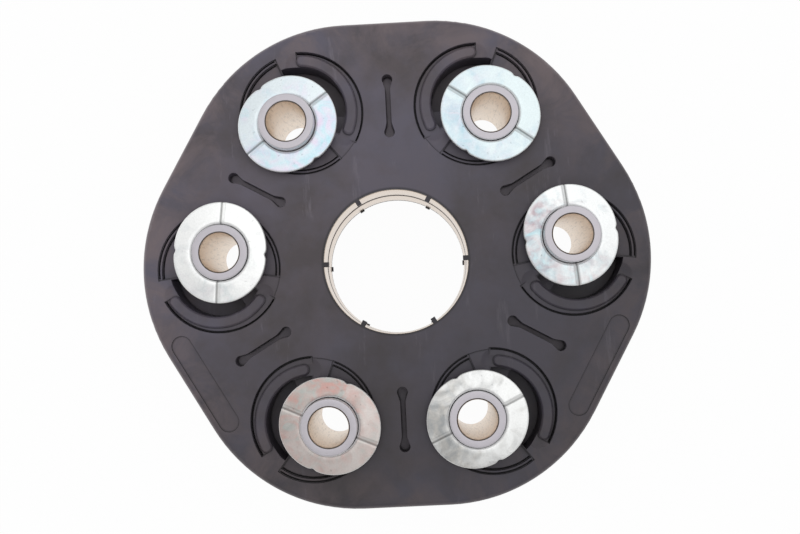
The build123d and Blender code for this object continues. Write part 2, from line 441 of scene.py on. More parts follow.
        # painted shade in inner corners, from ambient occlusion
        corners = add_node(
            tree,
            "ShaderNodeAmbientOcclusion",
            {"Distance": self.corner_mm * MM},
            samples=8,
            only_local=True,
        )
        corner_darkening = add_node(
            tree,
            "ShaderNodeMapRange",
            {
                "Value": corners.outputs["AO"],
                "From Min": self.corner_span[0],
                "From Max": self.corner_span[1],
                "To Min": self.corner_shade,
                "To Max": 1.0,
            },
        )
        # painted shadow at the lip of the hole
        lip = add_node(
            tree,
            "ShaderNodeMapRange",
            {
                "Value": reach,
                "From Min": self.lip_start_mm * MM,
                "From Max": self.lip_end_mm * MM,
                "To Min": self.lip_shade,
                "To Max": 1.0,
            },
        )
        darkened = add_node(tree, "ShaderNodeMath", {0: lip, 1: corner_darkening}, operation="MULTIPLY")
        return add_node(tree, "ShaderNodeMath", {0: side_shade, 1: darkened}, operation="MULTIPLY")

    def relief(self, tree: Tree, place: Socket) -> Node:
        """Rounds the mould's edges and raises a slow swell and a fine grain.

        Args:
            tree: the node tree.
            place: Object coordinates.

        Returns:
            The node that gives the normal.
        """
        normal = add_node(tree, "ShaderNodeBevel", {"Radius": self.edge_mm * MM}, samples=6)
        for size, detail, strength, depth in (
            (self.wave_mm, 2.0, 0.25, self.wave_depth_mm),
            (self.grain_mm, 3.0, 0.3, self.grain_depth_mm),
        ):
            noise = add_node(
                tree,
                "ShaderNodeTexNoise",
                {"Vector": place, "Scale": per_metre(size), "Detail": detail},
            )
            normal = add_node(
                tree,
                "ShaderNodeBump",
                {"Height": noise, "Normal": normal, "Strength": strength, "Distance": depth * MM},
            )
        return normal

    def build(self) -> bpy.types.Material:
        """Builds the rubber's material.

        Returns:
            The material, on Object coordinates.
        """
        material, tree, shader = new_material("moulded_rubber_matt")
        place = add_node(tree, "ShaderNodeTexCoord").outputs["Object"]
        reach = axis_reach(tree, place)
        walls = slant_mask(tree, self.wall_slants)
        top = add_node(tree, "ShaderNodeMath", {0: 1.0, 1: walls}, operation="SUBTRACT")
        rubs = add_node(
            tree,
            "ShaderNodeTexNoise",
            {
                "Vector": place,
                "Scale": per_metre(self.rub_mm),
                "Detail": 6.0,
                "Roughness": 0.65,
                "Distortion": 0.6,
            },
        )
        colour = self.worn_colour(tree, place, self.rubbing(tree, rubs, reach, top))
        for mask, over in self.highlight_and_floor_light(tree, place, reach, top):
            layers = {"Factor": mask, "A": colour, "B": linear(over)}
            colour = add_node(tree, "ShaderNodeMix", layers, data_type="RGBA")
        shade = self.shade(tree, place, reach)
        colour = add_node(tree, "ShaderNodeVectorMath", {0: colour, 1: shade}, operation="MULTIPLY")
        gloss = add_node(
            tree,
            "ShaderNodeMapRange",
            {
                "Value": rubs,
                "To Min": self.roughness - self.roughness_swing,
                "To Max": self.roughness + self.roughness_swing,
            },
        )
        normal = self.relief(tree, place)
        feed(shader, {"Base Color": colour, "Roughness": gloss, "Normal": normal})
        return material


@dataclass(frozen=True)
class ZincPlate:
    """Bright zinc electroplate with clear passivation on stamped steel.

    It mirrors the room softly, shows a fine crystal grain, a few dark flecks and thin handling
    scratches, and its thin passivation layer tints it in clouds: bluish on most washers, rose and
    grey on one. A painted highlight lightens its slanted edges white, and painted shade darkens a
    line beside the pressed groove.
    """

    tone: PlateTone
    cloud_mm: float = 6.0
    cloud_span: Span = (0.56, 0.9)  # where the clouds start and close for a reach of 0
    cloud_pull: Span = (0.3, 0.24)  # how much lower both lie for a reach of 1
    lean: float = 0.2
    lean_reach_mm: float = 13.0
    hue_mm: float = 4.5
    hue_span: Span = (0.34, 0.66)
    crystal_mm: float = 0.45
    crystal_shades: Span = (0.94, 1.04)
    fleck_mm: float = 1.3
    fleck_span: Span = (0.68, 0.76)
    fleck_shade: float = 0.72
    # painted shade: a dark line beside the pressed groove
    groove_shade_core_mm: float = 0.12
    groove_shade_mm: float = 0.36
    groove_shade_shift_mm: float = 0.18
    groove_shade: float = 0.42
    # painted highlight: the white of the slanted edges, less metallic
    edge: str = "FBFBFA"
    highlight_slants: Span = (0.97, 0.75)
    highlight_share: float = 0.8
    highlight_metal: float = 0.35
    roughness: float = 0.3
    roughness_swing: Span = (-0.08, 0.14)
    scratch_mm: float = 1.2
    scratch_turn: float = 0.9
    scratch_stretch: float = 0.08
    relief_mm: float = 0.02

    def tint(self, tree: Tree, place: Socket, centred: Node, clouds: Node) -> Node:
        """Clouds the bright plating with the two passivation colours, more to one side.

        Args:
            tree: the node tree.
            place: Object coordinates.
            centred: the same from the washer's axis.
            clouds: noise of the clouds.

        Returns:
            The node that gives the colour.
        """
        bright, cloud, veil, reach, turn = self.tone.value
        aim = heading(turn)
        along = add_node(
            tree, "ShaderNodeVectorMath", {0: centred, 1: aim}, operation="DOT_PRODUCT"
        )
        lean = add_node(
            tree,
            "ShaderNodeMapRange",
            {
                "Value": along,
                "From Min": -self.lean_reach_mm * MM,
                "From Max": self.lean_reach_mm * MM,
                "To Min": -self.lean,
                "To Max": self.lean,
            },
        )
        thick = add_node(tree, "ShaderNodeMath", {0: clouds, 1: lean}, operation="ADD")
        start, close = (at - pull * reach for at, pull in zip(self.cloud_span, self.cloud_pull))
        mask = add_node(tree, "ShaderNodeValToRGB", {"Fac": thick}, stops=fade_in((start, close)))
        hues = add_node(
            tree,
            "ShaderNodeTexNoise",
            {"Vector": place, "Scale": per_metre(self.hue_mm), "Detail": 3.0, "Distortion": 1.6},
        )
        veils = add_node(
            tree,
            "ShaderNodeMapRange",
            {"Value": hues, "From Min": self.hue_span[0], "From Max": self.hue_span[1]},
        )
        cloudy = add_node(
            tree,
            "ShaderNodeMix",
            {"Factor": veils, "A": linear(cloud), "B": linear(veil)},
            data_type="RGBA",
        )
        layers = {"Factor": mask, "A": linear(bright), "B": cloudy}
        return add_node(tree, "ShaderNodeMix", layers, data_type="RGBA")

    def shade(
        self, tree: Tree, place: Socket, centred: Node, crystals: Node, radial: Vector
    ) -> Node:
        """Darkens crystals and flecks, and paints shade in a line along the pressed groove.

        Args:
            tree: the node tree.
            place: Object coordinates.
            centred: the same from the washer's axis.
            crystals: pattern of the crystals.
            radial: level direction from the shaft axis to the washer.

        Returns:
            The node that gives the factor on the colour.
        """
        speckle = add_node(
            tree,
            "ShaderNodeMapRange",
            {"Value": crystals, "To Min": self.crystal_shades[0], "To Max": self.crystal_shades[1]},
        )
        flecks = add_node(
            tree,
            "ShaderNodeTexNoise",
            {"Vector": place, "Scale": per_metre(self.fleck_mm), "Detail": 2.0},
        )
        fleck = add_node(
            tree,
            "ShaderNodeMapRange",
            {
                "Value": flecks,
                "From Min": self.fleck_span[0],
                "From Max": self.fleck_span[1],
                "To Min": 1.0,
                "To Max": self.fleck_shade,
            },
        )
        grain = add_node(tree, "ShaderNodeMath", {0: speckle, 1: fleck}, operation="MULTIPLY")
        aim = (radial.x, radial.y, 0.0)
        across = add_node(
            tree, "ShaderNodeVectorMath", {0: centred, 1: aim}, operation="DOT_PRODUCT"
        )
        # painted shade in a line along the pressed groove, shifted to one side
        shift = self.groove_shade_shift_mm * MM
        beside = add_node(tree, "ShaderNodeMath", {0: across, 1: shift}, operation="SUBTRACT")
        apart = add_node(tree, "ShaderNodeMath", {0: beside}, operation="ABSOLUTE")
        groove_darkening = add_node(
            tree,
            "ShaderNodeMapRange",
            {
                "Value": apart,
                "From Min": self.groove_shade_core_mm * MM,
                "From Max": self.groove_shade_mm * MM,
                "To Min": self.groove_shade,
                "To Max": 1.0,
            },
        )
        return add_node(tree, "ShaderNodeMath", {0: grain, 1: groove_darkening}, operation="MULTIPLY")

    def relief(self, tree: Tree, place: Socket, crystals: Node) -> Node:
        """Cuts thin scratches and raises the crystals.

        Args:
            tree: the node tree.
            place: Object coordinates.
            crystals: pattern of the crystals.

        Returns:
            The node that gives the normal.
        """
        turn = {
            "Rotation": (0.0, 0.0, self.scratch_turn),
            "Scale": (1.0, self.scratch_stretch, 1.0),
        }
        turned = add_node(tree, "ShaderNodeMapping", {"Vector": place, **turn})
        scratches = add_node(
            tree,
            "ShaderNodeTexNoise",
            {"Vector": turned, "Scale": per_metre(self.scratch_mm), "Detail": 6.0},
        )
        depth = {"Distance": self.relief_mm * MM}
        cuts = add_node(tree, "ShaderNodeBump", {"Height": scratches, "Strength": 0.2, **depth})
        return add_node(
            tree, "ShaderNodeBump", {"Height": crystals, "Normal": cuts, "Strength": 0.15, **depth}
        )

    def build(self, name: str, centre: Vector) -> bpy.types.Material:
        """Builds the material of one bush's washers.

        Args:
            name: ending of the material's name.
            centre: a point on the washers' axis.

        Returns:
            The material, on Object coordinates.
        """
        material, tree, shader = new_material(f"zinc_plate_bright_{name}")
        place = add_node(tree, "ShaderNodeTexCoord").outputs["Object"]
        shift = (-centre.x, -centre.y, 0.0)
        centred = add_node(tree, "ShaderNodeMapping", {"Vector": place, "Location": shift})
        clouds = add_node(
            tree,
            "ShaderNodeTexNoise",
            {
                "Vector": place,
                "Scale": per_metre(self.cloud_mm),
                "Detail": 4.0,
                "Roughness": 0.55,
                "Distortion": 0.8,
            },
        )
        crystals = add_node(
            tree,
            "ShaderNodeTexVoronoi",
            {"Vector": place, "Scale": per_metre(self.crystal_mm), "Randomness": 1.0},
        )
        # painted highlight on the slanted faces: the rim's rounding and the groove's sides
        edges = slant_mask(tree, self.highlight_slants)
        plate_highlight = add_node(
            tree, "ShaderNodeMath", {0: edges, 1: self.highlight_share}, operation="MULTIPLY"
        )
        tint = self.tint(tree, place, centred, clouds)
        layers = {"Factor": plate_highlight, "A": tint, "B": linear(self.edge)}
        edged = add_node(tree, "ShaderNodeMix", layers, data_type="RGBA")
        metal = add_node(
            tree, "ShaderNodeMapRange", {"Value": plate_highlight, "To Min": 1.0, "To Max": self.highlight_metal}
        )
        shade = self.shade(tree, place, centred, crystals, centre.xy.normalized())
        colour = add_node(tree, "ShaderNodeVectorMath", {0: edged, 1: shade}, operation="MULTIPLY")
        gloss = add_node(
            tree,
            "ShaderNodeMapRange",
            {
                "Value": clouds,
                "To Min": self.roughness + self.roughness_swing[0],
                "To Max": self.roughness + self.roughness_swing[1],
            },
        )
        normal = self.relief(tree, place, crystals)
        feed(
            shader,
            {"Base Color": colour, "Metallic": metal, "Roughness": gloss, "Normal": normal},
        )
        return material


@dataclass(frozen=True)
class TurnedSleeve:
    """Cold-drawn steel sleeve, its ends faced on a lathe and its bore left oily and yellowish.

    The faced end is a satin grey with rings from the tool and a painted highlight on its outer
    edge. The bore reflects warm light and carries brown flecks and drawing lines, and a dark burr
    rings it.
    """

    end: str = "C8C4CA"
    bore: str = "F3E4D4"
    bore_fade_mm: float = 0.1
    burr: str = "57504C"
    burr_band_mm: float = 0.14
    # painted highlight: the white of the outer edge's rounding
    edge: str = "F2F2F4"
    highlight_start_mm: float = 1.2
    highlight_slants: Span = (0.95, 0.6)
    highlight_share: float = 0.7
    fleck_mm: float = 0.5
    fleck_span: Span = (0.52, 0.7)
    fleck_shade: float = 0.66
    fleck_stretch: float = 0.12
    stain_mm: float = 2.4
    stain_shades: Span = (0.82, 1.12)
    roughness: float = 0.38
    roughness_swing: Span = (-0.1, 0.15)
    tool_mark_mm: float = 0.32
    tool_depth_mm: float = 0.01

    def tint(self, tree: Tree, reach: Node, inside: Node, bore_edge: float) -> Node:
        """Colours the bore, the faced end, the painted highlight on its outer edge and the burr
        round the bore.

        Args:
            tree: the node tree.
            reach: distance from the sleeve's axis.
            inside: mask of the bore.
            bore_edge: radius inside which the surface counts as the bore.

        Returns:
            The node that gives the colour.
        """
        start = bore_edge + self.highlight_start_mm * MM
        outside = add_node(tree, "ShaderNodeMath", {0: reach, 1: start}, operation="GREATER_THAN")
        # painted highlight on the rounded outer edge
        slant = slant_mask(tree, self.highlight_slants)
        rounding = add_node(
            tree, "ShaderNodeMath", {0: slant, 1: self.highlight_share}, operation="MULTIPLY"
        )
        bright = add_node(tree, "ShaderNodeMath", {0: rounding, 1: outside}, operation="MULTIPLY")
        ring = {1: bore_edge + self.bore_fade_mm * MM, 2: self.burr_band_mm * MM}
        beside = add_node(tree, "ShaderNodeMath", {0: reach, **ring}, operation="COMPARE")
        colour = linear(self.end)
        for mask, over in ((bright, self.edge), (inside, self.bore), (beside, self.burr)):
            layers = {"Factor": mask, "A": colour, "B": linear(over)}
            colour = add_node(tree, "ShaderNodeMix", layers, data_type="RGBA")
        return colour

    def shade(self, tree: Tree, place: Socket, inside: Node, stains: Node) -> Node:
        """Stains the whole sleeve and flecks its bore.

        Args:
            tree: the node tree.
            place: Object coordinates.
            inside: mask of the bore.
            stains: noise of the stains.

        Returns:
            The node that gives the factor on the colour.
        """
        stained = add_node(
            tree,
            "ShaderNodeMapRange",
            {"Value": stains, "To Min": self.stain_shades[0], "To Max": self.stain_shades[1]},
        )
        stretch = (1.0, 1.0, self.fleck_stretch)
        drawn = add_node(tree, "ShaderNodeMapping", {"Vector": place, "Scale": stretch})
        flecks = add_node(
            tree,
            "ShaderNodeTexNoise",
            {"Vector": drawn, "Scale": per_metre(self.fleck_mm), "Detail": 5.0, "Roughness": 0.7},
        )
        fleck = add_node(
            tree,
            "ShaderNodeMapRange",
            {
                "Value": flecks,
                "From Min": self.fleck_span[0],
                "From Max": self.fleck_span[1],
                "To Min": 1.0,
                "To Max": self.fleck_shade,
            },
        )
        bored = add_node(tree, "ShaderNodeMix", {"Factor": inside, "A": 1.0, "B": fleck})
        return add_node(tree, "ShaderNodeMath", {0: stained, 1: bored}, operation="MULTIPLY")

    def build(self, name: str, centre: Vector, bore_edge: float) -> bpy.types.Material:
        """Builds one sleeve's material.

        Args:
            name: ending of the material's name.
            centre: a point on the sleeve's axis.
            bore_edge: radius inside which the surface counts as the bore.

        Returns:
            The material, on Object coordinates centred on the sleeve.
        """
        material, tree, shader = new_material(f"steel_sleeve_turned_{name}")
        place = add_node(tree, "ShaderNodeTexCoord").outputs["Object"]
        shift = (-centre.x, -centre.y, 0.0)
        centred = add_node(tree, "ShaderNodeMapping", {"Vector": place, "Location": shift})
        reach = axis_reach(tree, centred)
        inside = add_node(
            tree,
            "ShaderNodeMapRange",
            {
                "Value": reach,
                "From Min": bore_edge,
                "From Max": bore_edge + self.bore_fade_mm * MM,
                "To Min": 1.0,
                "To Max": 0.0,
            },
        )
        stains = add_node(
            tree,
            "ShaderNodeTexNoise",
            {"Vector": place, "Scale": per_metre(self.stain_mm), "Detail": 6.0, "Roughness": 0.7},
        )
        tint = self.tint(tree, reach, inside, bore_edge)
        shade = self.shade(tree, place, inside, stains)
        colour = add_node(tree, "ShaderNodeVectorMath", {0: tint, 1: shade}, operation="MULTIPLY")
        turns = 2 * math.pi / (self.tool_mark_mm * MM)
        rings = add_node(tree, "ShaderNodeMath", {0: reach, 1: turns}, operation="MULTIPLY")
        ripple = add_node(tree, "ShaderNodeMath", {0: rings}, operation="SINE")
        depth = {"Strength": 0.2, "Distance": self.tool_depth_mm * MM}
        bump = add_node(tree, "ShaderNodeBump", {"Height": ripple, **depth})
        gloss = add_node(
            tree,
            "ShaderNodeMapRange",
            {
                "Value": stains,
                "To Min": self.roughness + self.roughness_swing[0],
                "To Max": self.roughness + self.roughness_swing[1],
            },
        )
        feed(shader, {"Base Color": colour, "Metallic": 1.0, "Roughness": gloss, "Normal": bump})
        return material


@dataclass(frozen=True)
class RolledRingSteel:
    """Bright rolled steel strip, bent to a ring, with a thin film of oil that warms its colour.

    Rolling lines run round the ring, and dirt fills the seam between its two halves.
    """

    body: str = "DDCCBB"
    seam: str = "4E423B"
    seam_mm: float = 1.3
    line_mm: float = 0.4
    line_stretch: float = 0.05
    line_shades: Span = (0.85, 1.1)
    line_depth_mm: float = 0.01
    roughness: float = 0.26

    def build(self) -> bpy.types.Material:
        """Builds the ring's material.

        Returns:
            The material, with rolling lines round the ring.
        """
        material, tree, shader = new_material("ring_steel_rolled")
        place = add_node(tree, "ShaderNodeTexCoord").outputs["Object"]
        stretch = (self.line_stretch, self.line_stretch, 1.0)
        drawn = add_node(tree, "ShaderNodeMapping", {"Vector": place, "Scale": stretch})
        lines = add_node(
            tree,
            "ShaderNodeTexNoise",
            {"Vector": drawn, "Scale": per_metre(self.line_mm), "Detail": 4.0},
        )
        shade = add_node(
            tree,
            "ShaderNodeMapRange",
            {"Value": lines, "To Min": self.line_shades[0], "To Max": self.line_shades[1]},
        )
        body = linear(self.body)[:3]
        tint = add_node(tree, "ShaderNodeVectorMath", {0: body, 1: shade}, operation="MULTIPLY")
        height = add_node(tree, "ShaderNodeSeparateXYZ", {"Vector": place}).outputs["Z"]
        band = {1: 0.0, 2: self.seam_mm * MM}
        middle = add_node(tree, "ShaderNodeMath", {0: height, **band}, operation="COMPARE")
        layers = {"Factor": middle, "A": tint, "B": linear(self.seam)}
        darkened = add_node(tree, "ShaderNodeMix", layers, data_type="RGBA")
        depth = {"Strength": 0.2, "Distance": self.line_depth_mm * MM}
        bump = add_node(tree, "ShaderNodeBump", {"Height": lines, **depth})
        steel = {"Base Color": darkened, "Metallic": 1.0, "Roughness": self.roughness}
        feed(shader, {**steel, "Normal": bump})
        return material


@dataclass(frozen=True)
class DippedCord:
    """Polyester cord dipped in bonding resin and wound in many turns: tan, matt, with ribs.

    The ribs of the bundled turns are drawn coarser than one turn of cord.
    """

    body: str = "8C7A5C"
    rib_mm: float = 5.6549
    rib_shades: Span = (0.7, 1.1)
    rib_depth_mm: float = 0.2
    roughness: float = 0.8

    def build(self) -> bpy.types.Material:
        """Builds the cord's material.

        The wave pattern counts 20 radians in a unit of its scale, so a rib takes 2 pi / 20 units.

        Returns:
            The material, ribbed across the height of the pack.
        """
        material, tree, shader = new_material("polyester_cord_dipped")
        place = add_node(tree, "ShaderNodeTexCoord").outputs["Object"]
        scale = 2 * math.pi / 20 * per_metre(self.rib_mm)
        ribs = add_node(
            tree,
            "ShaderNodeTexWave",
            {"Vector": place, "Scale": scale, "Distortion": 0.4},
            bands_direction="Z",
        ).outputs["Fac"]
        shade = add_node(
            tree,
            "ShaderNodeMapRange",
            {"Value": ribs, "To Min": self.rib_shades[0], "To Max": self.rib_shades[1]},
        )
        body = linear(self.body)[:3]
        colour = add_node(tree, "ShaderNodeVectorMath", {0: body, 1: shade}, operation="MULTIPLY")
        depth = {"Strength": 0.6, "Distance": self.rib_depth_mm * MM}
        bump = add_node(tree, "ShaderNodeBump", {"Height": ribs, **depth})
        feed(shader, {"Base Color": colour, "Roughness": self.roughness, "Normal": bump})
        return material


def read_values(
    items: bpy.types.bpy_prop_collection, name: str, width: int, kind: type = np.float32
) -> np.ndarray:
    """Reads a property of all a mesh's vertices, corners or faces.

    Args:
        items: the mesh's collection.
        name: the property.
        width: how many numbers each item has.
        kind: type of the numbers.

    Returns:
        Array of items and numbers.
    """
    values = np.empty(len(items) * width, dtype=kind)
    items.foreach_get(name, values)
    return values.reshape(-1, width)


def mesh_from_faces(name: str, points: np.ndarray, faces: np.ndarray) -> bpy.types.Mesh:
    """Makes a smooth mesh from arrays.

    Args:
        name: the mesh's name.
        points: x, y and z of each vertex.
        faces: vertex numbers of each face, the same count in all.

    Returns:
        The mesh.
    """
    mesh = bpy.data.meshes.new(name)
    mesh.vertices.add(len(points))
    mesh.vertices.foreach_set("co", points.reshape(-1).astype(np.float32))
    mesh.loops.add(faces.size)
    mesh.loops.foreach_set("vertex_index", faces.reshape(-1).astype(np.int32))
    mesh.polygons.add(len(faces))
    starts = np.arange(len(faces), dtype=np.int32) * faces.shape[1]
    mesh.polygons.foreach_set("loop_start", starts)
    mesh.polygons.foreach_set("use_smooth", np.ones(len(faces), dtype=bool))
    mesh.update(calc_edges=True)
    mesh.validate()
    return mesh


def grid_piece(
    name: str, points: np.ndarray, material: bpy.types.Material
) -> bpy.types.Object:
    """Makes a piece from a grid of points that closes on itself both ways, as a torus does.

    Each point is joined to the next along both directions, and the last to the first. The normals
    look outward where a row runs counterclockwise, seen along the way from each row to the next.

    Args:
        name: the piece's name.
        points: array of rows, columns and x, y, z.
        material: its finish.

    Returns:
        The new object, riding on the body.
    """
    rows, columns = points.shape[:2]
    index = np.arange(rows * columns).reshape(rows, columns)
    down = np.roll(index, -1, axis=0)
    right = np.roll(index, -1, axis=1)
    corner = np.roll(down, -1, axis=1)
    quads = np.stack([index, down, corner, right], axis=-1).reshape(-1, 4)
    return dress(name, mesh_from_faces(name, points.reshape(-1, 3), quads), material)


def dress(
    name: str, mesh: bpy.types.Mesh, material: bpy.types.Material
) -> bpy.types.Object:
    """Turns a mesh into a piece that rides on the body and takes its finish.

    Args:
        name: the piece's name.
        mesh: its mesh, already in place.
        material: its finish.

    Returns:
        The new object.
    """
    piece = bpy.data.objects.new(name, mesh)
    bpy.context.scene.collection.objects.link(piece)
    mesh.materials.append(material)
    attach(piece, BODY)
    log.info("%s: %d faces", name, len(mesh.polygons))
    return piece


def wall_section(inner: float, outer: float, low: float, high: float) -> np.ndarray:
    """Returns the corners of an upright wall's section: down its inner side, up its outer one."""
    return np.array([(inner, high), (inner, low), (outer, low), (outer, high)])


def rounded_section(corners: np.ndarray, radii: np.ndarray, steps: int) -> np.ndarray:
    """Rounds the corners of a closed section.

    Each corner is replaced by a curve that touches both its sides and starts and ends at the cut
    length from it. A point of the curve is the start times (1 - t) squared, plus the corner times
    2 t (1 - t), plus the end times t squared, which is close to an arc at these sizes.

    Args:
        corners: the corners, in order.
        radii: cut length at each corner.
        steps: points on each rounded corner.

    Returns:
        The section's points.
    """
    before = np.roll(corners, 1, axis=0) - corners
    after = np.roll(corners, -1, axis=0) - corners
    before /= np.linalg.norm(before, axis=1, keepdims=True)
    after /= np.linalg.norm(after, axis=1, keepdims=True)
    t = np.linspace(0.0, 1.0, steps)[None, :, None]
    first = (corners + before * radii[:, None])[:, None, :]
    last = (corners + after * radii[:, None])[:, None, :]
    middle = corners[:, None, :]
    blend = (1 - t) ** 2 * first + 2 * t * (1 - t) * middle + t**2 * last
    return blend.reshape(-1, 2)


def turned_solid(section: np.ndarray, centre: tuple[float, float], segments: int) -> np.ndarray:
    """Carries a section of radius and height round an upright axis.

    A point is the centre plus radius times (cosine, sine) of the angle, at the section's height.

    Args:
        section: points of radius and height, counterclockwise with the axis on the left.
        centre: x and y of the axis.
        segments: number of angles.

    Returns:
        Grid of angles by section points.
    """
    angle = np.linspace(0, 2 * math.pi, segments, endpoint=False)[:, None]
    x = centre[0] + section[None, :, 0] * np.cos(angle)
    y = centre[1] + section[None, :, 0] * np.sin(angle)
    z = np.broadcast_to(section[None, :, 1], x.shape)
    return np.stack([x, y, z], axis=-1)


@dataclass
class RubberDisc:
    """The moulded disc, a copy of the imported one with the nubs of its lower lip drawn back.

    The lower nubs end almost flush with the ring. The material rounds the mould's edges.
    """

    node: str = "rubber_body"
    tip_limit: float = 19.0 * MM
    tip_radius: float = 19.5 * MM

    def build(self, finish: bpy.types.Material) -> bpy.types.Object:
        """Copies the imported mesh, merged, and moves the tips of the lower nubs outward.

        Vertices at one place are merged, and each face keeps its shading. A vertex below the mid
        plane that is nearer the axis than the limit belongs to a tip. Its x and y are scaled so
        that it comes to lie on the tip radius.

        Args:
            finish: the rubber.

        Returns:
            The disc's object.
        """
        name = f"{self.node}_moulded"
        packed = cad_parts[self.node].data.copy()
        packed.transform(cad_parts[self.node].matrix_world)
        points, merged = np.unique(
            read_values(packed.vertices, "co", 3), axis=0, return_inverse=True
        )
        corners = read_values(packed.loops, "vertex_index", 1, np.int32)
        reach = np.linalg.norm(points[:, :2], axis=1)
        tips = (reach < self.tip_limit) & (points[:, 2] < 0)
        points[tips, :2] *= (self.tip_radius / reach[tips])[:, None]
        mesh = mesh_from_faces(name, points, merged.reshape(-1)[corners].reshape(-1, 3))
        smooth = read_values(packed.polygons, "use_smooth", 1, bool)
        mesh.polygons.foreach_set("use_smooth", smooth.reshape(-1))
        mesh.normals_split_custom_set(read_values(packed.corner_normals, "vector", 3))
        bpy.data.meshes.remove(packed)
        log.info("%s: %d tip vertices", self.node, int(tips.sum()))
        disc = dress(name, mesh, finish)
        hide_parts(self.node)
        return disc


@dataclass
class CentringRing:
    """Two half rings of rolled strip that meet on the mid plane of the disc, their ends flared."""

    wall: float = 1.5 * MM
    inner_round: float = 0.4 * MM
    outer_round: float = 0.3 * MM
    flare: float = 1.1 * MM
    segments: int = 256
    round_steps: int = 6

    def build(self, finish: bpy.types.Material) -> list[bpy.types.Object]:
        """Builds both halves.

        Args:
            finish: the ring's steel.

        Returns:
            The two objects.
        """
        pieces = []
        for name, flared in (("ring_upper", 1), ("ring_lower", 0)):
            low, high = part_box(name)
            outer = (high[0] - low[0]) / 2
            corners = wall_section(outer - self.wall, outer, low[2], high[2])
            radii = np.repeat([self.inner_round, self.outer_round], 2)
            radii[flared] = self.flare
            section = rounded_section(corners, radii, self.round_steps)
            points = turned_solid(section, (0.0, 0.0), self.segments)
            piece = grid_piece(f"{name}_rolled", points, finish)
            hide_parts(name)
            pieces.append(piece)
        return pieces


